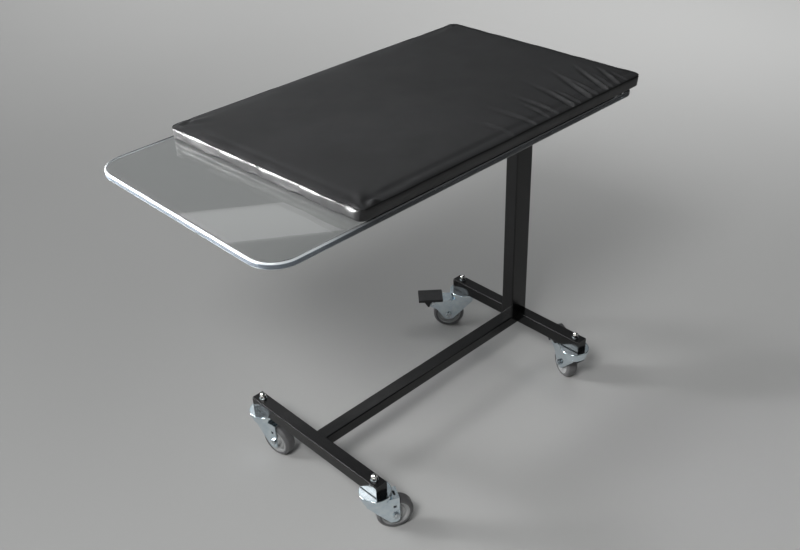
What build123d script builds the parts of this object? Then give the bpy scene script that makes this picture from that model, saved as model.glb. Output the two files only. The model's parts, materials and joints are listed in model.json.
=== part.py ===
from build123d import *
import math
import os

# Mobile cantilever table: clear top with a loose pad, one fixed column, tube base, four swivel casters.
# Millimetres. +X runs from the open front end of the top to the column, +Z up, Z = 0 on the floor.

# ---- casters ----
WHEEL_RADIUS = 38.1
TYRE_WIDTH = 26.0
TRAIL = 36.5
CASTER_HEIGHT = 103.0
CAP_RADIUS = 33.0
LEG_INNER = 14.0
LEG_THICKNESS = 2.5
FORK_FRONT = 44.5
BRAKE_FORK_TIP = 84.5
CROWN_TOP = 84.5
CROWN_THICKNESS = 3.0
AXLE_RADIUS = 4.0
RUNNING_GAP = 0.05
STEM_RADIUS = 4.0
WASHER_THICKNESS = 1.5
BALL_RADIUS = 3.0
BALL_PITCH_RADIUS = 20.0
BALL_COUNT = 14
BALL_HEIGHT = 93.4

# ---- brake pedal on the two casters by the column ----
PIVOT_REACH = 77.5
PIVOT_HEIGHT = 73.5
PIVOT_RADIUS = 3.0
PEDAL_START = 52.0
PEDAL_END = 113.0
PEDAL_WIDTH = 48.0
LEVER_START = 31.0
LEVER_HALF = 17.5
LEVER_BOTTOM = 80.2
LEVER_TOP = 82.8
PEDAL_TOP = 89.4
SHOE_CLEARANCE = 1.6

# ---- base ----
BAR_SIZE = 28.6
BAR_WALL = 2.0
BAR_CORNER = 2.6
BAR_LENGTH = 390.0
BASE_LENGTH = 660.0
SPINE_WIDTH = 31.8
SPINE_HEIGHT = 25.4
COLUMN_DEPTH = 50.8
COLUMN_WIDTH = 31.8
STEM_INSET = 19.6
END_CAP_THICKNESS = 2.0

# ---- top ----
TOP_LENGTH = 888.0
TOP_WIDTH = 493.0
TOP_THICKNESS = 14.0
TOP_CORNER = 52.0
TOP_REAR_CORNER = 20.0
TOP_EDGE = 5.0
TOP_SURFACE = 752.0
TOP_FRONT_OVERHANG = 217.0
PAD_FRONT_RIGHT = (-375.0, -249.0)
PAD_REAR_RIGHT = (363.0, -249.0)
PAD_REAR_LEFT = (340.0, 229.0)
PAD_FRONT_LEFT = (-399.0, 239.0)
PAD_THICKNESS = 25.0
PAD_CORNER = 18.0
PAD_EDGE = 3.0
COVER_THICKNESS = 1.2
STRIP_THICKNESS = 0.8
STRIP_LENGTH = 560.0
STRIP_WIDTH = 38.0
STRIP_SPACING = 300.0

# ---- support under the top ----
ARM_WIDTH = 50.8
ARM_HEIGHT = 25.4
ARM_LENGTH = 500.0
CROSS_PLATE_THICKNESS = 6.0
CROSS_PLATE_WIDTH = 40.0
CROSS_PLATE_LENGTH = 320.0
CROSS_PLATE_PITCH = 205.0
HEAD_PLATE_THICKNESS = 6.0
SCREW_OFFSETS = (-138.0, -60.0, 60.0, 138.0)
SCREW_RADIUS = 2.95
INSERT_RADIUS = 4.5
INSERT_LENGTH = 9.5

# ---- placement: the origin is the middle of the bounding box, on the floor ----
BASE_X = 80.52
BASE_Y = -9.41
SWIVEL_X = BASE_LENGTH / 2 - BAR_SIZE / 2
SWIVEL_Y = BAR_LENGTH / 2 - STEM_INSET
BAR_TOP = CASTER_HEIGHT + BAR_SIZE
BASE_REAR = BASE_LENGTH / 2

# Swivel place and the direction each wheel trails in at rest, degrees from +X.
CASTERS = {
    "front_right": (-SWIVEL_X, -SWIVEL_Y, -28.0),
    "front_left": (-SWIVEL_X, SWIVEL_Y, -83.0),
    "rear_right": (SWIVEL_X, -SWIVEL_Y, 64.0),
    "rear_left": (SWIVEL_X, SWIVEL_Y, 138.0),
}
BRAKED = ("rear_right", "rear_left")

BOTTOM = (Align.CENTER, Align.CENTER, Align.MIN)


def disc(radius, low, high):
    """Upright cylinder about the local Z axis between two heights."""
    return Pos(0, 0, low) * Cylinder(radius, high - low, align=BOTTOM)


def ring(inner, outer, low, high):
    return disc(outer, low, high) - disc(inner, low - 1, high + 1)


def block(x0, x1, y0, y1, z0, z1):
    size = Box(x1 - x0, y1 - y0, z1 - z0)
    return Pos((x0 + x1) / 2, (y0 + y1) / 2, (z0 + z1) / 2) * size


def rod(radius, x, z, y0, y1):
    """Cylinder along Y, for axles, pins and their holes."""
    bar = Rot(90, 0, 0) * Cylinder(radius, y1 - y0)
    return Pos(x, (y0 + y1) / 2, z) * bar


def rod_ring(inner, outer, x, z, y0, y1):
    return rod(outer, x, z, y0, y1) - rod(inner, x, z, y0 - 1, y1 + 1)


def hexagon(across_flats, low, high):
    """Hexagonal prism about the local Z axis."""
    outline = RegularPolygon(across_flats / math.sqrt(3), 6)
    return Pos(0, 0, low) * extrude(outline, high - low)


def profile(points):
    """Closed outline from (x, z, corner radius) triples."""
    face = make_face(Polyline(*[(x, z) for x, z, r in points], close=True))
    for x, z, radius in points:
        if radius:
            corner = face.vertices().sort_by_distance((x, z))[0]
            face = fillet(corner, radius)
    return face


def side_plate(points, y0, y1):
    """Sheet piece standing in the XZ plane between two Y values."""
    return extrude(Plane.XZ.offset(-y1) * profile(points), y1 - y0)


def tube(width, height, length, wall, corner):
    """Rectangular tube along local Z, starting at Z = 0."""
    outer = RectangleRounded(width, height, corner)
    inner = RectangleRounded(width - 2 * wall, height - 2 * wall, corner - wall * 0.6)
    return extrude(outer - inner, length)


def on_base(shape):
    """Move a piece from base coordinates to the origin of the whole object."""
    return Pos(BASE_X, BASE_Y, 0) * shape


def at_caster(name, shape):
    x, y, heading = CASTERS[name]
    return on_base(Pos(x, y, 0) * Rot(0, 0, heading) * shape)


# ---------------------------------------------------------------- base frame
def crossbar(x):
    """Square tube across the table, with stem holes through top and bottom walls."""
    length = BAR_LENGTH - 2 * END_CAP_THICKNESS
    bar = Rot(-90, 0, 0) * tube(BAR_SIZE, BAR_SIZE, length, BAR_WALL, BAR_CORNER)
    bar = Pos(x, -BAR_LENGTH / 2 + END_CAP_THICKNESS, CASTER_HEIGHT + BAR_SIZE / 2) * bar
    for y in (-SWIVEL_Y, SWIVEL_Y):
        bar -= Pos(x, y, 0) * disc(STEM_RADIUS + RUNNING_GAP, CASTER_HEIGHT - 1, BAR_TOP + 1)
    return bar


def end_plate(x, side):
    """Flat plate closing one end of a crossbar, ground flush with the tube."""
    plate = extrude(RectangleRounded(BAR_SIZE, BAR_SIZE, BAR_CORNER), END_CAP_THICKNESS)
    plate = Rot(-90, 0, 0) * plate
    start = BAR_LENGTH / 2 - END_CAP_THICKNESS if side > 0 else -BAR_LENGTH / 2
    return Pos(x, start, CASTER_HEIGHT + BAR_SIZE / 2) * plate


def spine():
    """Wider, lower tube joining the two crossbars, undersides flush."""
    length = BASE_LENGTH - 2 * BAR_SIZE
    body = Rot(0, 90, 0) * tube(SPINE_HEIGHT, SPINE_WIDTH, length, BAR_WALL, BAR_CORNER)
    return Pos(-length / 2, 0, CASTER_HEIGHT + SPINE_HEIGHT / 2) * body


def column():
    """Fixed upright standing on the spine and notched over the rear crossbar."""
    low = CASTER_HEIGHT + SPINE_HEIGHT
    high = TOP_SURFACE - TOP_THICKNESS - CROSS_PLATE_THICKNESS - ARM_HEIGHT - HEAD_PLATE_THICKNESS
    centre = BASE_REAR - COLUMN_DEPTH / 2
    body = Pos(centre, 0, low) * tube(COLUMN_DEPTH, COLUMN_WIDTH, high - low, BAR_WALL, BAR_CORNER)
    notch = block(BASE_REAR - BAR_SIZE, BASE_REAR + 1, -COLUMN_WIDTH, COLUMN_WIDTH, low - 1, BAR_TOP)
    return body - notch


# ---------------------------------------------------------------- top support
def arm_levels():
    top = TOP_SURFACE - TOP_THICKNESS - CROSS_PLATE_THICKNESS
    return top - ARM_HEIGHT, top


def head_plate():
    """Plate welded between the column and the arm."""
    low = arm_levels()[0] - HEAD_PLATE_THICKNESS
    outline = RectangleRounded(COLUMN_DEPTH + 40, COLUMN_WIDTH + 40, 6)
    centre = BASE_REAR - COLUMN_DEPTH / 2 - 15
    return Pos(centre, 0, low) * extrude(outline, HEAD_PLATE_THICKNESS)


def top_arm():
    low, high = arm_levels()
    body = Rot(0, 90, 0) * tube(ARM_HEIGHT, ARM_WIDTH, ARM_LENGTH, BAR_WALL, BAR_CORNER)
    return Pos(BASE_REAR - ARM_LENGTH, 0, (low + high) / 2) * body


def arm_end_plugs():
    """Thin plastic plugs in both ends of the arm."""
    low, high = arm_levels()
    plugs = []
    inner_height = ARM_HEIGHT - 2 * BAR_WALL - 0.4
    inner_width = ARM_WIDTH - 2 * BAR_WALL - 0.4
    for x, direction in ((BASE_REAR, 1), (BASE_REAR - ARM_LENGTH, -1)):
        flange = extrude(RectangleRounded(ARM_HEIGHT, ARM_WIDTH, BAR_CORNER), 1.6)
        stub = Pos(0, 0, -10) * extrude(RectangleRounded(inner_height, inner_width, 1.2), 10)
        plug = Rot(0, 90 * direction, 0) * (flange + stub)
        plugs.append(Pos(x, 0, (low + high) / 2) * plug)
    return plugs


def cross_plate_places():
    last = BASE_REAR - COLUMN_DEPTH - CROSS_PLATE_WIDTH / 2
    return [last - CROSS_PLATE_PITCH * i for i in range(3)]


def screw_places():
    return [(x, y) for x in cross_plate_places() for y in SCREW_OFFSETS]


def cross_plate(x):
    """Flat bar across the arm that the top is screwed to from below."""
    high = TOP_SURFACE - TOP_THICKNESS
    outline = RectangleRounded(CROSS_PLATE_WIDTH, CROSS_PLATE_LENGTH, 8)
    plate = Pos(x, 0, high - CROSS_PLATE_THICKNESS) * extrude(outline, CROSS_PLATE_THICKNESS)
    for y in SCREW_OFFSETS:
        plate -= Pos(x, y, 0) * disc(SCREW_RADIUS + 0.35, high - 20, high + 1)
    return plate


def top_screw(x, y):
    """Button-head screw with a hexagon socket, entering from below."""
    seat = TOP_SURFACE - TOP_THICKNESS - CROSS_PLATE_THICKNESS
    head = disc(5.4, seat - 3.2, seat)
    head = fillet(head.faces().sort_by(Axis.Z)[0].edges(), 2.2)
    shank = disc(SCREW_RADIUS, seat, seat + CROSS_PLATE_THICKNESS + INSERT_LENGTH - 1)
    return Pos(x, y, 0) * (head + shank - hexagon(4.0, seat - 3.3, seat - 1.2))


def threaded_insert(x, y):
    low = TOP_SURFACE - TOP_THICKNESS
    return Pos(x, y, 0) * ring(SCREW_RADIUS + RUNNING_GAP, INSERT_RADIUS, low, low + INSERT_LENGTH)


def top_centre():
    return -BASE_REAR - TOP_FRONT_OVERHANG + TOP_LENGTH / 2


def clear_sheet(low):
    """Wide corners at the open end, tighter ones at the column end, rounded rims all round."""
    sheet = Pos(0, 0, low) * Box(TOP_LENGTH, TOP_WIDTH, TOP_THICKNESS, align=BOTTOM)
    front = sheet.edges().filter_by(Axis.Z).sort_by(Axis.X)[:2]
    sheet = fillet(front, TOP_CORNER)
    rear = sheet.edges().filter_by(Axis.Z).sort_by(Axis.X)[-2:]
    sheet = fillet(rear, TOP_REAR_CORNER)
    faces = sheet.faces().sort_by(Axis.Z)
    return fillet(faces[0].edges() + faces[-1].edges(), TOP_EDGE)


def acrylic_top():
    low = TOP_SURFACE - TOP_THICKNESS
    slab = Pos(top_centre(), 0, 0) * clear_sheet(low)
    for x, y in screw_places():
        hole = disc(INSERT_RADIUS + RUNNING_GAP, low - 1, low + INSERT_LENGTH + 0.5)
        slab -= Pos(x, y, 0) * hole
    return slab


# ---------------------------------------------------------------- pad
def pad_corners():
    return (PAD_FRONT_RIGHT, PAD_REAR_RIGHT, PAD_REAR_LEFT, PAD_FRONT_LEFT)


def pad_centre():
    xs, ys = zip(*pad_corners())
    return sum(xs) / 4, sum(ys) / 4


def strips(low):
    """Pair of hook-and-loop strips along the pad."""
    pieces = []
    for side in (-1, 1):
        outline = RectangleRounded(STRIP_LENGTH, STRIP_WIDTH, 4)
        x, y = pad_centre()
        place = Pos(x, y + side * STRIP_SPACING / 2, low)
        pieces.append(place * extrude(outline, STRIP_THICKNESS))
    return pieces


def pad_box(inset, corner, edge):
    """Pad-shaped slab, a little out of square, drawn in by the inset on every side."""
    low = TOP_SURFACE + 2 * STRIP_THICKNESS + inset
    face = make_face(Polyline(*pad_corners(), close=True))
    if inset:
        face = offset(face, -inset, kind=Kind.INTERSECTION)
    face = fillet(face.vertices(), corner)
    slab = Pos(0, 0, low) * extrude(face, PAD_THICKNESS - 2 * inset)
    rims = slab.faces().sort_by(Axis.Z)[0].edges() + slab.faces().sort_by(Axis.Z)[-1].edges()
    return fillet(rims, edge)


def pad_cover():
    """Vinyl cover, closed all round, with the foam's space inside."""
    outer = pad_box(0, PAD_CORNER, PAD_EDGE)
    inner = pad_box(COVER_THICKNESS, PAD_CORNER - COVER_THICKNESS, PAD_EDGE - COVER_THICKNESS)
    return outer - inner


def pad_foam():
    inset = COVER_THICKNESS + 0.1
    return pad_box(inset, PAD_CORNER - inset, PAD_EDGE - inset)


# ---------------------------------------------------------------- caster mounting
def swivel_cap():
    """Fixed upper race: dished disc against the tube, bearing ring and kingpin barrel."""
    top_disc = disc(CAP_RADIUS, CASTER_HEIGHT - 4, CASTER_HEIGHT)
    rim = ring(CAP_RADIUS - 2, CAP_RADIUS, CASTER_HEIGHT - 8, CASTER_HEIGHT - 3.9)
    race = ring(BALL_PITCH_RADIUS - 6, BALL_PITCH_RADIUS + 6, BALL_HEIGHT + 3.1, CASTER_HEIGHT - 3.9)
    barrel = disc(8, CROWN_TOP - CROWN_THICKNESS - 0.2, CASTER_HEIGHT - 3.9)
    rivet_head = disc(11, CROWN_TOP - CROWN_THICKNESS - 3, CROWN_TOP - CROWN_THICKNESS - 0.1)
    body = fillet((top_disc + rim).faces().sort_by(Axis.Z)[-1].edges(), 1.5)
    bore = disc(STEM_RADIUS + RUNNING_GAP, CROWN_TOP + 1, CASTER_HEIGHT + 1)
    return body + race + barrel + rivet_head - bore


def stem():
    """Threaded stem from the kingpin up through the crossbar."""
    body = disc(STEM_RADIUS, CROWN_TOP + 1.1, BAR_TOP + 10)
    return chamfer(body.faces().sort_by(Axis.Z)[-1].edges(), 0.8)


def washer():
    return ring(STEM_RADIUS + 0.3, 8.0, BAR_TOP, BAR_TOP + WASHER_THICKNESS)


def cap_nut():
    """Domed nut on the stem's upper end."""
    low = BAR_TOP + WASHER_THICKNESS
    skirt = hexagon(13.0, low, low + 6.5)
    skirt = skirt & (Pos(0, 0, low - 1) * Cone(9.2, 6.0, 9.5, align=BOTTOM))
    dome = Pos(0, 0, low + 7.0) * Sphere(5.6)
    neck = disc(5.6, low + 3, low + 7.0)
    bore = disc(STEM_RADIUS + RUNNING_GAP, low - 1, BAR_TOP + 10.1)
    upper_dome = dome & block(-9, 9, -9, 9, low + 3, low + 20)
    return skirt + neck + upper_dome - bore


# ---------------------------------------------------------------- caster forks
def crown():
    """Turning lower race: plate, raised ball track and outer wall."""
    plate = disc(28, CROWN_TOP - CROWN_THICKNESS, CROWN_TOP)
    track = ring(BALL_PITCH_RADIUS - 6, BALL_PITCH_RADIUS + 5.6, CROWN_TOP - 0.1, BALL_HEIGHT - 3.05)
    wall_outer = Pos(0, 0, CROWN_TOP - 0.1) * Cone(28, 29.2, 9.6, align=BOTTOM)
    wall = wall_outer - disc(26.2, CROWN_TOP - 1, CROWN_TOP + 12)
    return plate + track + wall


def legs(points, extra_holes):
    """Pair of side plates with axle holes and any further holes (x, z, radius)."""
    outer = LEG_INNER + LEG_THICKNESS
    pair = side_plate(points, LEG_INNER, outer) + side_plate(points, -outer, -LEG_INNER)
    holes = [(TRAIL, WHEEL_RADIUS, AXLE_RADIUS + RUNNING_GAP)] + extra_holes
    for x, z, radius in holes:
        pair -= rod(radius, x, z, -outer - 1, outer + 1)
    return pair


def fork_bridge(x0, x1, low, high):
    """Plate that ties the two side plates together over the wheel."""
    outer = LEG_INNER + LEG_THICKNESS
    return block(x0, x1, -outer, outer, low, high)


def plain_fork():
    outer = LEG_INNER + LEG_THICKNESS
    points = [
        (-23, CROWN_TOP - 1, 0),
        (FORK_FRONT, CROWN_TOP - 1, 3),
        (FORK_FRONT, 20.5, 9),
        (25, 20.5, 9),
        (-23, 77, 4),
    ]
    body = crown() + legs(points, [])
    body += fork_bridge(0, FORK_FRONT, CROWN_TOP - CROWN_THICKNESS, CROWN_TOP - 0.2)
    square_hole = block(31.5, 37.5, -outer - 1, outer + 1, 59.5, 65.5)
    slot = Pos(37, 0, CROWN_TOP - 5) * extrude(SlotOverall(14, 4.5, rotation=90), 8)
    kingpin_hole = disc(8 + RUNNING_GAP, CROWN_TOP - 6, CROWN_TOP + 2)
    return body - square_hole - slot - kingpin_hole


def brake_fork():
    points = [
        (-23, CROWN_TOP - 1.5, 0),
        (26, CROWN_TOP - 1.5, 1),
        (29, LEVER_BOTTOM - 0.6, 1),
        (BRAKE_FORK_TIP, LEVER_BOTTOM - 0.6, 5),
        (BRAKE_FORK_TIP, 66, 5),
        (67, 55.5, 12),
        (46, 24.5, 9),
        (28, 24.5, 8),
        (-23, 77, 4),
    ]
    pin_hole = (PIVOT_REACH, PIVOT_HEIGHT, PIVOT_RADIUS + RUNNING_GAP)
    body = crown() + legs(points, [pin_hole])
    body += fork_bridge(13, 41, 77.4, LEVER_BOTTOM - 0.9)
    kingpin_hole = disc(8 + RUNNING_GAP, CROWN_TOP - 6, CROWN_TOP + 2)
    return body - kingpin_hole


def race_balls():
    ball = Pos(BALL_PITCH_RADIUS, 0, BALL_HEIGHT) * Sphere(BALL_RADIUS)
    return [Rot(0, 0, 360.0 / BALL_COUNT * i) * ball for i in range(BALL_COUNT)]


# ---------------------------------------------------------------- wheels
def about_axle(section):
    """Revolve an (axial, radial) section about the wheel axle."""
    placed = Plane.YZ * section
    wheel = revolve(placed, Axis.Y)
    return Pos(TRAIL, 0, WHEEL_RADIUS) * wheel


def tyre():
    half = TYRE_WIDTH / 2
    shoulder = half - 4.5
    band = [
        (-half, 29.5, 0),
        (half, 29.5, 0),
        (half, 33, 0),
        (shoulder, WHEEL_RADIUS, 5),
        (-shoulder, WHEEL_RADIUS, 5),
        (-half, 33, 0),
    ]
    return about_axle(profile(band))


def core_outline():
    """Half section steps (half width, radius) of the moulded wheel centre."""
    boss = [(13.3, 7.2), (13.3, 11.5), (7.0, 13.0)]
    raised_ring = [(7.0, 17.0), (9.0, 18.0), (9.0, 20.5), (7.0, 21.5)]
    rim = [(7.0, 25.0), (11.8, 26.5), (11.8, 29.45)]
    return boss + raised_ring + rim


def wheel_core():
    steps = core_outline()
    right = [(w, r, 0) for w, r in steps]
    left = [(-w, r, 0) for w, r in reversed(steps)]
    return about_axle(profile(right + left))


def wheel_bearing():
    return rod_ring(AXLE_RADIUS + RUNNING_GAP, 7.15, TRAIL, WHEEL_RADIUS, -13.5, 13.5)


def lying_hexagon(across_flats, x, z, y0, y1):
    return Pos(x, y1, z) * Rot(90, 0, 0) * hexagon(across_flats, 0, y1 - y0)


def axle_bolt():
    outer = LEG_INNER + LEG_THICKNESS
    shank = rod(AXLE_RADIUS, TRAIL, WHEEL_RADIUS, -outer - 0.1, outer + 6.8)
    return shank + lying_hexagon(13.0, TRAIL, WHEEL_RADIUS, -outer - 4.0, -outer)


def axle_nut():
    outer = LEG_INNER + LEG_THICKNESS
    nut = lying_hexagon(13.0, TRAIL, WHEEL_RADIUS, outer, outer + 5.8)
    return nut - rod(AXLE_RADIUS + RUNNING_GAP, TRAIL, WHEEL_RADIUS, outer - 1, outer + 7)


# ---------------------------------------------------------------- brakes
def brake_lever():
    """Pressed lever plate with two ears on the pivot pin."""
    plate = block(LEVER_START, PEDAL_END - 6, -LEVER_HALF, LEVER_HALF, LEVER_BOTTOM, LEVER_TOP)
    root = LEVER_BOTTOM + 0.5
    ear = [(63, root, 0), (90, root, 0), (83, 68.5, 5), (72, 68.5, 5)]
    ears = side_plate(ear, 11.4, 13.4) + side_plate(ear, -13.4, -11.4)
    return plate + ears - rod(PIVOT_RADIUS + RUNNING_GAP, PIVOT_REACH, PIVOT_HEIGHT, -20, 20)


def pedal_cover():
    """Moulded foot plate over the lever, with a triangular web down each side."""
    half = PEDAL_WIDTH / 2
    slab = block(PEDAL_START, PEDAL_END, -half, half, LEVER_TOP, PEDAL_TOP)
    slab = fillet(slab.edges().filter_by(Axis.Z), 2.5)
    slab = fillet(slab.faces().sort_by(Axis.Z)[-1].edges(), 1.2)
    for i in range(7):
        x = PEDAL_START + 11 + i * 6
        slab -= block(x, x + 2.2, -half + 5, half - 5, PEDAL_TOP - 0.7, PEDAL_TOP + 1)
    web = [(80, LEVER_TOP + 0.5, 0), (100, LEVER_TOP + 0.5, 0), (88, 64, 2)]
    return slab + side_plate(web, 18, 21) + side_plate(web, -21, -18)


def brake_shoe():
    """Wedge under the lever whose hollow face follows the tread."""
    body = block(60, 75.5, -9.5, 9.5, 58, LEVER_BOTTOM)
    body -= rod(WHEEL_RADIUS + SHOE_CLEARANCE, TRAIL, WHEEL_RADIUS, -20, 20)
    return body - rod(PIVOT_RADIUS + 0.6, PIVOT_REACH, PIVOT_HEIGHT, -20, 20)


def pedal_pivot():
    """Pin through fork and lever, headed at both ends."""
    outer = LEG_INNER + LEG_THICKNESS
    pin = rod(PIVOT_RADIUS, PIVOT_REACH, PIVOT_HEIGHT, -outer - 0.1, outer + 0.1)
    for y0, y1 in ((outer, outer + 1.3), (-outer - 1.3, -outer)):
        pin += rod(4.6, PIVOT_REACH, PIVOT_HEIGHT, y0, y1)
    return pin


# ---------------------------------------------------------------- assembly
def frame_parts():
    front = -SWIVEL_X
    rear = SWIVEL_X
    ends = [end_plate(x, side) for x in (front, rear) for side in (-1, 1)]
    places = [(x, y) for x in (front, rear) for y in (-SWIVEL_Y, SWIVEL_Y)]
    return {
        "front_crossbar": [crossbar(front)],
        "rear_crossbar": [crossbar(rear)],
        "crossbar_end_plates": ends,
        "spine": [spine()],
        "column": [column()],
        "column_head_plate": [head_plate()],
        "top_arm": [top_arm()],
        "arm_end_plugs": arm_end_plugs(),
        "top_cross_plates": [cross_plate(x) for x in cross_plate_places()],
        "top_screws": [top_screw(x, y) for x, y in screw_places()],
        "threaded_inserts": [threaded_insert(x, y) for x, y in screw_places()],
        "acrylic_top": [acrylic_top()],
        "hook_strips": strips(TOP_SURFACE),
        "loop_strips": strips(TOP_SURFACE + STRIP_THICKNESS),
        "pad_foam": [pad_foam()],
        "pad_cover": [pad_cover()],
        "swivel_caps": [Pos(x, y, 0) * swivel_cap() for x, y in places],
        "caster_stems": [Pos(x, y, 0) * stem() for x, y in places],
        "stem_washers": [Pos(x, y, 0) * washer() for x, y in places],
        "cap_nuts": [Pos(x, y, 0) * Rot(0, 0, 17) * cap_nut() for x, y in places],
    }


def caster_parts(name):
    pieces = {
        "fork_": [brake_fork() if name in BRAKED else plain_fork()],
        "race_balls_": race_balls(),
        "axle_bolt_": [axle_bolt()],
        "axle_nut_": [axle_nut()],
        "tyre_": [tyre()],
        "wheel_core_": [wheel_core()],
        "wheel_bearing_": [wheel_bearing()],
    }
    if name in BRAKED:
        pieces["brake_lever_"] = [brake_lever()]
        pieces["pedal_cover_"] = [pedal_cover()]
        pieces["brake_shoe_"] = [brake_shoe()]
        pieces["pedal_pivot_"] = [pedal_pivot()]
    return {prefix + name: [at_caster(name, s) for s in shapes] for prefix, shapes in pieces.items()}


def write_part(name, shapes):
    solids = [solid for shape in shapes for solid in shape.solids()]
    body = Compound(children=solids) if len(solids) > 1 else solids[0]
    body.label = name
    export_step(body, "parts/" + name + ".step")


os.makedirs("parts", exist_ok=True)
for part_name, part_shapes in frame_parts().items():
    write_part(part_name, [on_base(shape) for shape in part_shapes])
for caster_name in CASTERS:
    for part_name, part_shapes in caster_parts(caster_name).items():
        write_part(part_name, part_shapes)
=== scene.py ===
import json
import math
import bpy
import numpy as np
from mathutils import Matrix, Vector, noise
from mathutils.bvhtree import BVHTree


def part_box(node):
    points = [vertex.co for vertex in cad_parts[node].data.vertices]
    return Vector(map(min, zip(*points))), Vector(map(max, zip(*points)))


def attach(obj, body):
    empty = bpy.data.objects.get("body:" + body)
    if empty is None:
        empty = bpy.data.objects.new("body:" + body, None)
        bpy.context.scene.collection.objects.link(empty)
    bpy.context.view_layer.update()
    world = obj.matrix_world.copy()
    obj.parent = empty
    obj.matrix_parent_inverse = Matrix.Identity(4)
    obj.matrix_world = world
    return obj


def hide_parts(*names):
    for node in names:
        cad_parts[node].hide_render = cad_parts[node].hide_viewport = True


# Looks for the mobile cantilever table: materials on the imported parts, a soft vinyl pad, studio and camera.
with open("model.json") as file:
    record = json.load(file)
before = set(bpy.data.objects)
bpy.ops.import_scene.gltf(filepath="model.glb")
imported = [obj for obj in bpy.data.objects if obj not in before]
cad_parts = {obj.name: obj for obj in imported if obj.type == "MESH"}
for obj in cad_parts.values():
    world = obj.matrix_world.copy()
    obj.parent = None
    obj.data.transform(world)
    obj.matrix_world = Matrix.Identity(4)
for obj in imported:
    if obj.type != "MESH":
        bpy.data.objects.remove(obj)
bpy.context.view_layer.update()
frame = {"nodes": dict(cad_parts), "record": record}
NODES = frame["nodes"]

MM = 0.001


# ---------------------------------------------------------------- material helpers
class Nodes:
    """Small wrapper that adds shader nodes and links to one material."""

    def __init__(self, name):
        self.material = bpy.data.materials.new(name)
        self.material.use_nodes = True
        self.tree = self.material.node_tree
        self.shader = self.tree.nodes["Principled BSDF"]
        coords = self.tree.nodes.new("ShaderNodeTexCoord")
        self.place = coords.outputs["Object"]

    def add(self, kind, **values):
        node = self.tree.nodes.new(kind)
        for key, value in values.items():
            if key in node.inputs:
                node.inputs[key].default_value = value
            else:
                setattr(node, key, value)
        return node

    def link(self, source, target):
        self.tree.links.new(source, target)

    def set(self, **values):
        for key, value in values.items():
            self.shader.inputs[key.replace("_", " ")].default_value = value

    def noise(self, scale, detail=3.0, roughness=0.55, stretch=None):
        """Noise in object space; stretch squeezes it along the axes for streaked finishes."""
        texture = self.add("ShaderNodeTexNoise", Scale=scale, Detail=detail, Roughness=roughness)
        source = self.place
        if stretch:
            mapping = self.add("ShaderNodeMapping")
            mapping.inputs["Scale"].default_value = stretch
            self.link(source, mapping.inputs["Vector"])
            source = mapping.outputs["Vector"]
        self.link(source, texture.inputs["Vector"])
        return texture.outputs["Fac"]

    def cells(self, scale, feature="F1"):
        texture = self.add("ShaderNodeTexVoronoi", Scale=scale)
        texture.feature = feature
        self.link(self.place, texture.inputs["Vector"])
        return texture.outputs["Distance"]

    def remap(self, value, low, high, out_low, out_high):
        node = self.add("ShaderNodeMapRange")
        node.inputs["From Min"].default_value = low
        node.inputs["From Max"].default_value = high
        node.inputs["To Min"].default_value = out_low
        node.inputs["To Max"].default_value = out_high
        self.link(value, node.inputs["Value"])
        return node.outputs["Result"]

    def blend(self, factor, first, second):
        """Blend between two colours, each either three numbers or the output of another node."""
        mix = self.add("ShaderNodeMix")
        mix.data_type = "RGBA"
        for name, colour in (("A", first), ("B", second)):
            if isinstance(colour, tuple):
                mix.inputs[name].default_value = (*colour, 1)
            else:
                self.link(colour, mix.inputs[name])
        self.link(factor, mix.inputs["Factor"])
        return mix.outputs["Result"]

    def product(self, first, second):
        node = self.add("ShaderNodeMath", operation="MULTIPLY")
        self.link(first, node.inputs[0])
        self.link(second, node.inputs[1])
        return node.outputs[0]

    def part_of(self, vector, axis):
        """One axis of a vector."""
        split = self.add("ShaderNodeSeparateXYZ")
        self.link(vector, split.inputs["Vector"])
        return split.outputs[axis]

    def total(self, first, second, weight=1.0):
        """First plus weighted second."""
        node = self.add("ShaderNodeMath", operation="MULTIPLY_ADD")
        self.link(second, node.inputs[0])
        node.inputs[1].default_value = weight
        self.link(first, node.inputs[2])
        return node.outputs[0]

    def to(self, name, output):
        self.link(output, self.shader.inputs[name])

    def bump(self, height, distance, strength=1.0):
        node = self.add("ShaderNodeBump", Strength=strength, Distance=distance)
        self.link(height, node.inputs["Height"])
        self.to("Normal", node.outputs["Normal"])


# ---------------------------------------------------------------- materials
def powder_coat():
    """Glossy black powder coat: faint orange peel, a little dust in the gloss."""
    m = Nodes("black_powder_coat")
    dust = m.remap(m.noise(14.0, 5.0), 0.5, 0.85, 0.0, 1.0)
    m.to("Base Color", m.blend(dust, (0.003, 0.003, 0.0031), (0.0055, 0.0055, 0.0058)))
    m.to("Roughness", m.remap(m.noise(40.0, 4.0), 0.3, 0.7, 0.16, 0.24))
    m.set(Specular_IOR_Level=0.32, Coat_Weight=0.1, Coat_Roughness=0.05)
    m.bump(m.noise(420.0, 1.5), 0.00003, 0.35)
    return m.material


CLEAR_TINT = (0.7, 0.72, 0.715)
# Painted light on the sheet's edges: painted shade on the edge faces, painted light on them at the open front
# end, a painted highlight on the rounded rim there, and the X span over which that painted light fades.
EDGE_PAINTED_SHADE = (0.03, 0.036, 0.042)
EDGE_PAINTED_LIGHT = (0.42, 0.5, 0.58)
RIM_PAINTED_HIGHLIGHT = (0.9, 0.95, 0.98)
PAINTED_LIGHT_SPAN = (-0.38, -0.26)
ACRYLIC_IOR = 1.49


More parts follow.
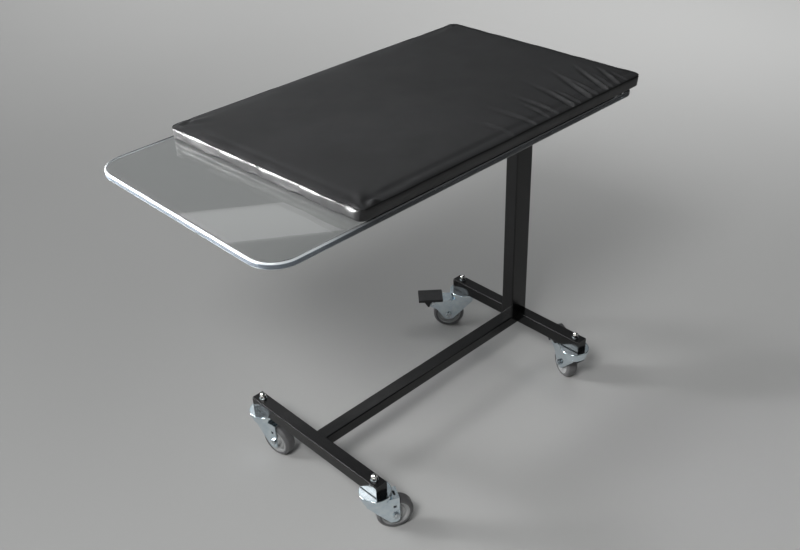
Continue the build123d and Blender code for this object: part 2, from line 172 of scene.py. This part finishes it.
def clear_acrylic():
    """Clear cast sheet with a faint cool tint and wiping marks; its edge faces carry painted shade, with
    painted light and a painted highlight on the rim beyond the pad.
    """
    m = Nodes("clear_acrylic")
    facing = m.add("ShaderNodeNewGeometry")
    flat = m.add("ShaderNodeMath", operation="ABSOLUTE")
    m.link(m.part_of(facing.outputs["Normal"], "Z"), flat.inputs[0])
    level = flat.outputs[0]
    edge = m.remap(level, 0.3, 0.97, 1.0, 0.0)
    rim = m.product(m.remap(level, 0.96, 0.85, 0.0, 1.0), m.remap(level, 0.25, 0.45, 0.0, 1.0))
    # Painted light mask: full at the open front end, fading to a trace over the span above.
    painted_light_mask = m.remap(m.part_of(m.place, "X"), *PAINTED_LIGHT_SPAN, 1.0, 0.12)
    painted_rim_highlight = m.product(rim, painted_light_mask)
    # Edge faces: painted shade, turning to painted light at the open end.
    body = m.blend(edge, CLEAR_TINT, m.blend(painted_light_mask, EDGE_PAINTED_SHADE, EDGE_PAINTED_LIGHT))
    # Painted highlight on the rounded rim at the open end; there the sheet also lets less light through.
    m.to("Base Color", m.blend(painted_rim_highlight, body, RIM_PAINTED_HIGHLIGHT))
    clear = m.remap(edge, 0.0, 1.0, 1.0, 0.75)
    m.to("Transmission Weight", m.total(clear, painted_rim_highlight, -0.5))
    wiped = m.remap(m.noise(30.0, 6.0, 0.7, (1.0, 9.0, 1.0)), 0.45, 0.8, 0.0, 0.05)
    m.to("Roughness", m.total(wiped, edge, 0.22))
    m.set(IOR=ACRYLIC_IOR)
    return m.material


def vinyl():
    """Black upholstery vinyl: fine leather grain over soft stretch creases."""
    m = Nodes("black_vinyl")
    tone = m.remap(m.noise(6.0, 4.0), 0.35, 0.75, 0.0, 1.0)
    m.to("Base Color", m.blend(tone, (0.009, 0.009, 0.0094), (0.016, 0.016, 0.0168)))
    m.to("Roughness", m.remap(m.noise(9.0, 5.0), 0.3, 0.7, 0.36, 0.5))
    m.set(Specular_IOR_Level=0.42, Coat_Weight=0.06, Coat_Roughness=0.3)
    grain = m.total(m.cells(900.0, "DISTANCE_TO_EDGE"), m.noise(1500.0, 2.0), 0.35)
    m.bump(m.total(grain, m.noise(60.0, 4.0), 0.8), 0.00016, 0.5)
    return m.material


def plating(name, colour, shade, roughness, streak):
    """Zinc, nickel and steel finishes: metallic with cloudy tone and fine drawn streaks."""
    m = Nodes(name)
    m.to("Base Color", m.blend(m.remap(m.noise(70.0, 5.0), 0.35, 0.7, 0.0, 1.0), shade, colour))
    m.set(Metallic=1.0)
    m.to("Roughness", m.remap(m.noise(120.0, 4.0), 0.3, 0.7, roughness * 0.8, roughness * 1.2))
    m.bump(m.noise(streak, 3.0, 0.6, (1.0, 1.0, 6.0)), 0.00002, 0.2)
    return m.material


def moulded(name, colour, worn, roughness, bump_scale, bump_depth):
    """Moulded plastic and rubber: mottled colour and fine surface texture."""
    m = Nodes(name)
    m.to("Base Color", m.blend(m.remap(m.noise(45.0, 5.0), 0.35, 0.75, 0.0, 1.0), colour, worn))
    m.to("Roughness", m.remap(m.noise(160.0, 3.0), 0.3, 0.7, roughness - 0.07, roughness + 0.08))
    m.bump(m.noise(bump_scale, 3.0), bump_depth, 0.5)
    return m.material


def seam_thread_and_shade():
    """Matt black sewn edge of the cover, with a fine twist; darker than the vinyl as painted shade of the
    groove along the seam.
    """
    m = Nodes("seam_thread_and_shade")
    # Darker than the vinyl: the real sewn edge's colour with painted shade of its groove.
    m.to("Base Color", m.blend(m.noise(900.0, 2.0), (0.003, 0.003, 0.003), (0.008, 0.008, 0.008)))
    m.set(Roughness=0.85, Specular_IOR_Level=0.2)
    m.bump(m.cells(1400.0), 0.0003, 0.6)
    return m.material


def hook_and_loop():
    """Black woven strip with a loose pile."""
    m = Nodes("hook_and_loop")
    m.to("Base Color", m.blend(m.cells(2400.0), (0.008, 0.008, 0.008), (0.05, 0.05, 0.05)))
    m.set(Roughness=0.9)
    m.bump(m.cells(2400.0), 0.0006, 0.9)
    return m.material


def foam():
    """Grey open-cell foam."""
    m = Nodes("foam")
    m.to("Base Color", m.blend(m.noise(80.0, 4.0), (0.2, 0.2, 0.21), (0.3, 0.3, 0.3)))
    m.set(Roughness=0.95)
    m.bump(m.cells(1400.0), 0.0005, 0.8)
    return m.material


# Plated and bare metals: main colour, shade, roughness, scale of the drawn streaks.
METALS = {
    "bright_zinc": ((0.82, 0.9, 0.94), (0.68, 0.78, 0.84), 0.15, 260.0),
    "zinc_fastener": ((0.74, 0.78, 0.8), (0.56, 0.6, 0.63), 0.26, 500.0),
    "nickel_plate": ((0.86, 0.85, 0.83), (0.7, 0.69, 0.68), 0.1, 700.0),
    "bearing_steel": ((0.7, 0.7, 0.71), (0.55, 0.55, 0.56), 0.14, 700.0),
    "stainless_steel": ((0.66, 0.66, 0.65), (0.5, 0.5, 0.5), 0.25, 500.0),
    "brass": ((0.76, 0.6, 0.3), (0.58, 0.43, 0.2), 0.26, 500.0),
}
# Moulded pieces: colour, worn colour, roughness, scale and depth of the surface texture.
PLASTICS = {
    "grey_rubber": ((0.085, 0.085, 0.087), (0.125, 0.125, 0.127), 0.45, 500.0, 0.0001),
    "grey_nylon": ((0.3, 0.305, 0.305), (0.4, 0.405, 0.405), 0.38, 700.0, 0.00006),
    "black_plastic": ((0.012, 0.012, 0.013), (0.022, 0.022, 0.023), 0.45, 900.0, 0.0001),
    "black_rubber": ((0.015, 0.015, 0.015), (0.03, 0.03, 0.03), 0.7, 400.0, 0.0002),
}


def make_materials():
    """One material for each slot of the record."""
    materials = {
        "black_powder_coat": powder_coat(),
        "clear_acrylic": clear_acrylic(),
        "black_vinyl": vinyl(),
        "hook_and_loop": hook_and_loop(),
        "foam": foam(),
    }
    for name, finish in METALS.items():
        materials[name] = plating(name, *finish)
    for name, finish in PLASTICS.items():
        materials[name] = moulded(name, *finish)
    return materials


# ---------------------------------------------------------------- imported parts
SHARP_EDGED = (
    "fork_",
    "brake_lever_",
    "axle_",
    "cap_nuts",
    "stem_washers",
    "pedal_pivot_",
    "swivel_caps",
)
PLATE_BEVEL = 0.35 * MM
BEVEL_ANGLE = math.radians(50)


def finish_parts(materials):
    """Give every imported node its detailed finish, and soften the pressed-metal edges."""
    for entry in frame["record"]["subparts"]:
        node = NODES[entry["node"]]
        node.data.materials.clear()
        node.data.materials.append(materials[entry["material_slot"]])
        if entry["node"].startswith(SHARP_EDGED):
            bevel = node.modifiers.new("edge", "BEVEL")
            bevel.width = PLATE_BEVEL
            bevel.segments = 2
            bevel.limit_method = "ANGLE"
            bevel.angle_limit = BEVEL_ANGLE


# ---------------------------------------------------------------- pad
PAD_VOXEL = 5 * MM
PAD_SWELL = 1.8 * MM
PAD_FRAMES = 20
SEAM_DEPTH = 3.6 * MM
SEAM_RADIUS = 1.1 * MM
SEAM_STEPS = 420
HELD_HEIGHT = 3.5 * MM
# Creases along the near side. Each has its start, measured back from the column end of the pad,
# its length, width and depth in mm, and its lean from the table's width in degrees.
NEAR_CREASES = (
    (36, 26, 3.2, 2.0, 14),
    (58, 46, 3.6, 4.6, 27),
    (80, 40, 3.2, 3.0, 20),
    (96, 66, 4.0, 5.2, 25),
    (128, 54, 3.8, 3.4, 12),
    (146, 78, 4.6, 4.8, 21),
    (182, 44, 3.6, 2.2, 6),
    (200, 70, 4.8, 3.8, 13),
    (244, 58, 4.6, 2.8, 2),
    (268, 40, 4.0, 1.6, 9),
    (306, 62, 5.6, 2.0, -3),
    (366, 56, 6.5, 1.1, -5),
)
CREASE_RIM = 9 * MM
CREASE_WANDER = 3.0 * MM
FOAM_UNEVEN = 0.45 * MM
# Gathered corners: size of the puckers, how far they reach, seed of their noise.
FRONT_RIGHT_FAN = (0.7 * MM, 0.05, 3)
FRONT_LEFT_FAN = (0.7 * MM, 0.06, 5)
REAR_LEFT_FAN = (0.5 * MM, 0.05, 7)


def apply_modifiers(obj):
    """Bake the object's modifiers into its mesh."""
    graph = bpy.context.evaluated_depsgraph_get()
    mesh = bpy.data.meshes.new_from_object(obj.evaluated_get(graph), depsgraph=graph)
    obj.modifiers.clear()
    obj.data = mesh


def points(obj):
    """Vertex places as an array of rows."""
    co = np.zeros(len(obj.data.vertices) * 3)
    obj.data.vertices.foreach_get("co", co)
    return co.reshape(-1, 3)


def normals_of(obj):
    flat = np.zeros(len(obj.data.vertices) * 3)
    obj.data.vertices.foreach_get("normal", flat)
    return flat.reshape(-1, 3)


def set_points(obj, co):
    obj.data.vertices.foreach_set("co", co.ravel())
    obj.data.update()


def pad_form():
    """Copy of the foam board, which is as wide as the cover before it swells."""
    pad = bpy.data.objects.new("pad_soft_cover", NODES["pad_foam"].data.copy())
    bpy.context.scene.collection.objects.link(pad)
    modifier = pad.modifiers.new("even", "REMESH")
    modifier.mode = "VOXEL"
    modifier.voxel_size = PAD_VOXEL
    apply_modifiers(pad)
    return pad


def inflate(obj, low):
    """Cloth under slight inner pressure, held where the pad rests on the top, movement capped."""
    before = points(obj)
    group = obj.vertex_groups.new(name="held")
    held = [int(i) for i in np.nonzero(before[:, 2] < low.z + HELD_HEIGHT)[0]]
    group.add(held, 1.0, "REPLACE")
    cloth = obj.modifiers.new("cloth", "CLOTH")
    settings = cloth.settings
    settings.quality = 5
    settings.mass = 0.3
    settings.tension_stiffness = 18
    settings.compression_stiffness = 18
    settings.shear_stiffness = 8
    settings.bending_stiffness = 0.4
    settings.use_pressure = True
    settings.uniform_pressure_force = 4.0
    settings.vertex_group_mass = "held"
    settings.effector_weights.gravity = 0.0
    cloth.collision_settings.use_collision = False
    for step in range(1, PAD_FRAMES + 1):
        bpy.context.scene.frame_set(step)
    apply_modifiers(obj)
    after = points(obj)
    bpy.context.scene.frame_set(1)
    move = after - before
    length = np.linalg.norm(move, axis=1, keepdims=True)
    cap = PAD_SWELL * np.tanh(length / PAD_SWELL)
    set_points(obj, before + move * cap / np.maximum(length, 1e-9))


def bell(distance, width):
    """1 at no distance, falling smoothly to 0 beyond the width."""
    return np.exp(-(distance / width) ** 2)


def noise_at(co, scale, seed):
    """Smooth noise in -1..1 at each point, the same on every run."""
    shift = Vector((seed * 3.1, seed * 1.7, seed * 0.9))
    return np.array([noise.noise(Vector(p) * scale + shift) for p in co])


def crease_height(co, origin, direction, length, width, depth):
    """One pull line: a valley beside a ridge, deepest at its start and fading along the direction."""
    along = (co[:, 0] - origin[0]) * direction[0] + (co[:, 1] - origin[1]) * direction[1]
    across = (co[:, 0] - origin[0]) * direction[1] - (co[:, 1] - origin[1]) * direction[0]
    across = across + CREASE_WANDER * noise_at(co, 14.0, 23)
    fade = np.where(along > 0, bell(along, length), bell(along, 0.007))
    width = width * (1 + 0.5 * np.clip(along, 0, length) / length)
    slope = across / width
    return depth * fade * (1.6 * slope * np.exp(-slope ** 2) - 0.35 * np.exp(-(slope / 1.4) ** 2))


def corner_fan(co, corner, size, reach, seed):
    """Small puckers that fan out of one corner of the cover."""
    distance = np.hypot(co[:, 0] - corner[0], co[:, 1] - corner[1])
    turn = np.arctan2(co[:, 1] - corner[1], co[:, 0] - corner[0])
    fan = np.sin(turn * 9.0 + noise_at(co, 12.0, seed) * 2.5)
    return size * fan * bell(distance - reach * 0.6, reach * 0.5)


def outline_corners(co):
    """The four corners of the pad's plan, in the order front right, rear right, rear left, front left."""
    signs = ((-1, -1), (1, -1), (1, 1), (-1, 1))
    return [co[np.argmax(co[:, 0] * sx * 0.65 + co[:, 1] * sy)] for sx, sy in signs]


def surface_offset(co, corners):
    """Height of creases, puckers and uneven foam over the upper face."""
    front_right, rear_right, rear_left, front_left = corners
    offset = FOAM_UNEVEN * noise_at(co, 8.0, 11)
    for start, length, width, depth, lean in NEAR_CREASES:
        origin = (rear_right[0] - start * MM, rear_right[1] + CREASE_RIM)
        direction = (math.sin(math.radians(lean)), math.cos(math.radians(lean)))
        offset += crease_height(co, origin, direction, length * MM, width * MM, depth * MM)
    offset += corner_fan(co, front_right, *FRONT_RIGHT_FAN)
    offset += corner_fan(co, front_left, *FRONT_LEFT_FAN)
    offset += corner_fan(co, rear_left, *REAR_LEFT_FAN)
    return offset


def front_edge(co, corners):
    """X of the pad's front end at each point's Y."""
    front_right, front_left = corners[0], corners[3]
    slant = (front_left[0] - front_right[0]) / (front_left[1] - front_right[1])
    return front_right[0] + slant * (co[:, 1] - front_right[1])


def wave_rims(co, corners, front_line, rise):
    """The front and near rims bulge and dip along their length."""
    front = bell(co[:, 0] - front_line, 0.016) * rise
    near = bell(co[:, 1] - corners[0][1], 0.014) * rise
    wave = noise_at(co * ALONG_Y, 15.0, 13) + 0.6 * noise_at(co * ALONG_Y, 38.0, 21)
    co[:, 0] -= front * 2.8 * MM * wave
    co[:, 2] += front * 1.6 * MM * noise_at(co * ALONG_Y, 21.0, 19)
    co[:, 1] += near * 1.2 * MM * noise_at(co * ALONG_X, 20.0, 17)


def settle_sides(co, corners, front_line, rise, floor_height):
    """The near side leans out, a gutter runs inside the rolled rim, the foot sags onto the table's edge."""
    side = bell(co[:, 1] - corners[0][1], 0.02)
    co[:, 1] -= side * (1.0 + 2.2 * rise) * MM
    inside = np.minimum(np.abs(co[:, 1] - corners[0][1]), np.abs(co[:, 0] - front_line))
    co[:, 2] -= 0.9 * MM * bell(inside - 0.016, 0.007) * rise
    foot = np.clip(1 - (co[:, 2] - floor_height) / 0.008, 0, 1)
    edge = np.maximum(side, bell(co[:, 0] - front_line, 0.02))
    co[:, 2] -= 1.1 * MM * foot * edge


def raise_peaks(co, corners, rise):
    """A peak of gathered cover, with a dip round it, at three corners."""
    front_right, _, rear_left, front_left = corners
    for corner, dx, dy in ((front_right, 26, 3), (front_left, 20, -3), (rear_left, -14, -4)):
        place = np.hypot(co[:, 0] - corner[0] - dx * MM, co[:, 1] - corner[1] - dy * MM)
        co[:, 2] += 2.4 * MM * bell(place, 0.0075) * rise
        co[:, 2] -= 1.2 * MM * bell(place - 0.013, 0.005) * rise


ALONG_X = np.array([1, 0, 0])
ALONG_Y = np.array([0, 1, 0])


def wrinkle(obj, low, high):
    """Pull creases near the column end, gathered corners, wavy rims and slightly uneven foam."""
    co = points(obj)
    corners = outline_corners(co)
    upper = np.clip((co[:, 2] - low.z) / (high.z - low.z) * 2.2 - 0.7, 0, 1)
    co = co + normals_of(obj) * (surface_offset(co, corners) * upper)[:, None]
    rise = np.clip((co[:, 2] - low.z) / (high.z - low.z), 0, 1)
    front_line = front_edge(co, corners)
    wave_rims(co, corners, front_line, rise)
    settle_sides(co, corners, front_line, rise, low.z)
    raise_peaks(co, corners, rise)
    set_points(obj, co)


SEARCH_OUT = 0.05
SEARCH_IN = 0.09
SEAM_STANDOFF = 0.1 * MM


def rim_path(obj, height, low, high):
    """Closed path round the pad's sides at the given height, found by looking in from outside."""
    tree = BVHTree.FromObject(obj, bpy.context.evaluated_depsgraph_get())
    centre = (low + high) / 2
    span_x = (high.x - low.x) / 2 + SEARCH_OUT
    span_y = (high.y - low.y) / 2 + SEARCH_OUT
    path = []
    for i in range(SEAM_STEPS):
        angle = 2 * math.pi * i / SEAM_STEPS
        c, s = math.cos(angle), math.sin(angle)
        scale = 1 / max(abs(c), abs(s))
        start = Vector((centre.x + span_x * c * scale, centre.y + span_y * s * scale, height))
        inner_x = centre.x + (span_x - SEARCH_IN) * c * scale
        inner_y = centre.y + (span_y - SEARCH_IN) * s * scale
        inward = (Vector((inner_x, inner_y, height)) - start).normalized()
        hit = tree.ray_cast(start, inward)
        if hit[0] is not None:
            path.append(hit[0] - inward * SEAM_STANDOFF)
    return path


def cord(name, path, radius):
    """Thin closed round cord along a path, as a mesh."""
    curve = bpy.data.curves.new(name, "CURVE")
    curve.dimensions = "3D"
    curve.bevel_depth = radius
    curve.bevel_resolution = 3
    spline = curve.splines.new("POLY")
    spline.points.add(len(path) - 1)
    for point, place in zip(spline.points, path):
        point.co = (*place, 1)
    spline.use_cyclic_u = True
    holder = bpy.data.objects.new(name + "_path", curve)
    bpy.context.scene.collection.objects.link(holder)
    graph = bpy.context.evaluated_depsgraph_get()
    mesh = bpy.data.meshes.new_from_object(holder.evaluated_get(graph), depsgraph=graph)
    bpy.data.objects.remove(holder)
    obj = bpy.data.objects.new(name, mesh)
    bpy.context.scene.collection.objects.link(obj)
    return obj


def dress(obj, material):
    """Smooth the piece, give it its material and hang it on the pad's body."""
    for polygon in obj.data.polygons:
        polygon.use_smooth = True
    obj.data.materials.clear()
    obj.data.materials.append(material)
    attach(obj, "pad")


def soft_pad(materials):
    """The soft cover with its sewn edge takes the place of the plain cover and foam solids."""
    low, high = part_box("pad_cover")
    pad = pad_form()
    inflate(pad, low)
    smooth = pad.modifiers.new("smooth", "SUBSURF")
    smooth.levels = smooth.render_levels = 1
    apply_modifiers(pad)
    wrinkle(pad, low, high)
    seam = cord("pad_top_seam", rim_path(pad, high.z - SEAM_DEPTH, low, high), SEAM_RADIUS)
    dress(pad, materials["black_vinyl"])
    dress(seam, seam_thread_and_shade())
    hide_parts("pad_cover", "pad_foam")


# ---------------------------------------------------------------- studio
FLOOR_SIZE = 30.0
BACKDROP_LEVEL = 0.3
LIGHT_SIDE = Vector((-0.4, 0.7, 0.5))
AIR_DARK = 0.02
AIR_LIGHT = 0.5
AIR_COLOUR = (0.95, 0.98, 1.0, 1)


def floor():
    """Plain pale floor with a very faint cloudiness."""
    bpy.ops.mesh.primitive_plane_add(size=FLOOR_SIZE)
    plane = bpy.context.object
    plane.name = "studio_floor"
    m = Nodes("studio_floor")
    m.to("Base Color", m.blend(m.noise(0.6, 2.0), (0.36, 0.36, 0.355), (0.4, 0.4, 0.395)))
    m.set(Roughness=0.75, Specular_IOR_Level=0.25)
    plane.data.materials.append(m.material)


def area_light(name, place, target, size, power, spread):
    """Rectangular soft light at a place, turned to its target; spread in degrees narrows its beam."""
    data = bpy.data.lights.new(name, "AREA")
    data.shape = "RECTANGLE"
    data.size, data.size_y = size
    data.energy = power
    data.spread = math.radians(spread)
    light = bpy.data.objects.new(name, data)
    light.location = place
    light.rotation_euler = (Vector(target) - Vector(place)).to_track_quat("-Z", "Y").to_euler()
    bpy.context.scene.collection.objects.link(light)


def studio_air():
    """Dim room that is lighter on the far left and overhead; the camera itself sees a plain pale backdrop."""
    world = bpy.data.worlds.new("studio_air")
    world.use_nodes = True
    tree = world.node_tree
    direction = tree.nodes.new("ShaderNodeTexCoord")
    along = tree.nodes.new("ShaderNodeVectorMath")
    along.operation = "DOT_PRODUCT"
    along.inputs[1].default_value = LIGHT_SIDE.normalized()
    tree.links.new(direction.outputs["Generated"], along.inputs[0])
    level = tree.nodes.new("ShaderNodeMapRange")
    level.inputs["From Min"].default_value = 0.0
    level.inputs["From Max"].default_value = 1.0
    level.inputs["To Min"].default_value = AIR_DARK
    level.inputs["To Max"].default_value = AIR_LIGHT
    tree.links.new(along.outputs["Value"], level.inputs["Value"])
    background = tree.nodes["Background"]
    background.inputs["Color"].default_value = AIR_COLOUR
    seen = tree.nodes.new("ShaderNodeLightPath")
    choice = tree.nodes.new("ShaderNodeMix")
    choice.inputs["B"].default_value = BACKDROP_LEVEL
    tree.links.new(seen.outputs["Is Camera Ray"], choice.inputs["Factor"])
    tree.links.new(level.outputs["Result"], choice.inputs["A"])
    tree.links.new(choice.outputs["Result"], background.inputs["Strength"])
    bpy.context.scene.world = world


# Each light: name, place, target, size, power in watts, spread in degrees.
LIGHTS = (
    ("overhead", (-2.0, -1.05, 2.75), (0.1, 0.0, 0.2), (0.9, 0.7), 74, 180),
    ("key", (-1.55, 1.55, 2.2), (-0.2, 0.0, 0.45), (0.62, 0.5), 15, 180),
    ("left_low", (-1.75, 1.95, 0.95), (-0.3, 0.0, 0.77), (1.1, 0.7), 19, 30),
    ("far_strip", (1.3, 2.35, 2.45), (-0.4, -0.1, 0.75), (1.9, 0.17), 0.9, 180),
    ("floor_right", (3.0, 0.9, 3.2), (3.0, 0.9, 0.0), (2.6, 2.6), 34, 80),
    ("floor_far", (1.6, 3.6, 3.2), (1.6, 3.6, 0.0), (3.0, 2.6), 26, 80),
)


CAMERA_PLACE = Vector((-1.1391, -1.2451, 1.5098))
CAMERA_YAW = math.radians(43.08)
CAMERA_PITCH = math.radians(33.14)
CAMERA_ROLL = math.radians(-2.12)
CAMERA_LENS = 44.68


def camera():
    """Standing view from the open front end, looking along the table and down."""
    data = bpy.data.cameras.new("view")
    data.lens = CAMERA_LENS
    data.sensor_width = 36.0
    data.clip_end = 100
    obj = bpy.data.objects.new("view", data)
    forward = Vector((
        math.sin(CAMERA_YAW) * math.cos(CAMERA_PITCH),
        math.cos(CAMERA_YAW) * math.cos(CAMERA_PITCH),
        -math.sin(CAMERA_PITCH),
    ))
    level = Vector((math.cos(CAMERA_YAW), -math.sin(CAMERA_YAW), 0))
    above = level.cross(forward)
    right = level * math.cos(CAMERA_ROLL) + above * math.sin(CAMERA_ROLL)
    up = above * math.cos(CAMERA_ROLL) - level * math.sin(CAMERA_ROLL)
    turn = Matrix((right, up, -forward)).transposed().to_4x4()
    obj.matrix_world = Matrix.Translation(CAMERA_PLACE) @ turn
    bpy.context.scene.collection.objects.link(obj)
    bpy.context.scene.camera = obj


MATERIALS = make_materials()
finish_parts(MATERIALS)
soft_pad(MATERIALS)
floor()
studio_air()
for LIGHT in LIGHTS:
    area_light(*LIGHT)
camera()
bpy.context.scene.view_settings.view_transform = "Standard"

bpy.context.view_layer.update()
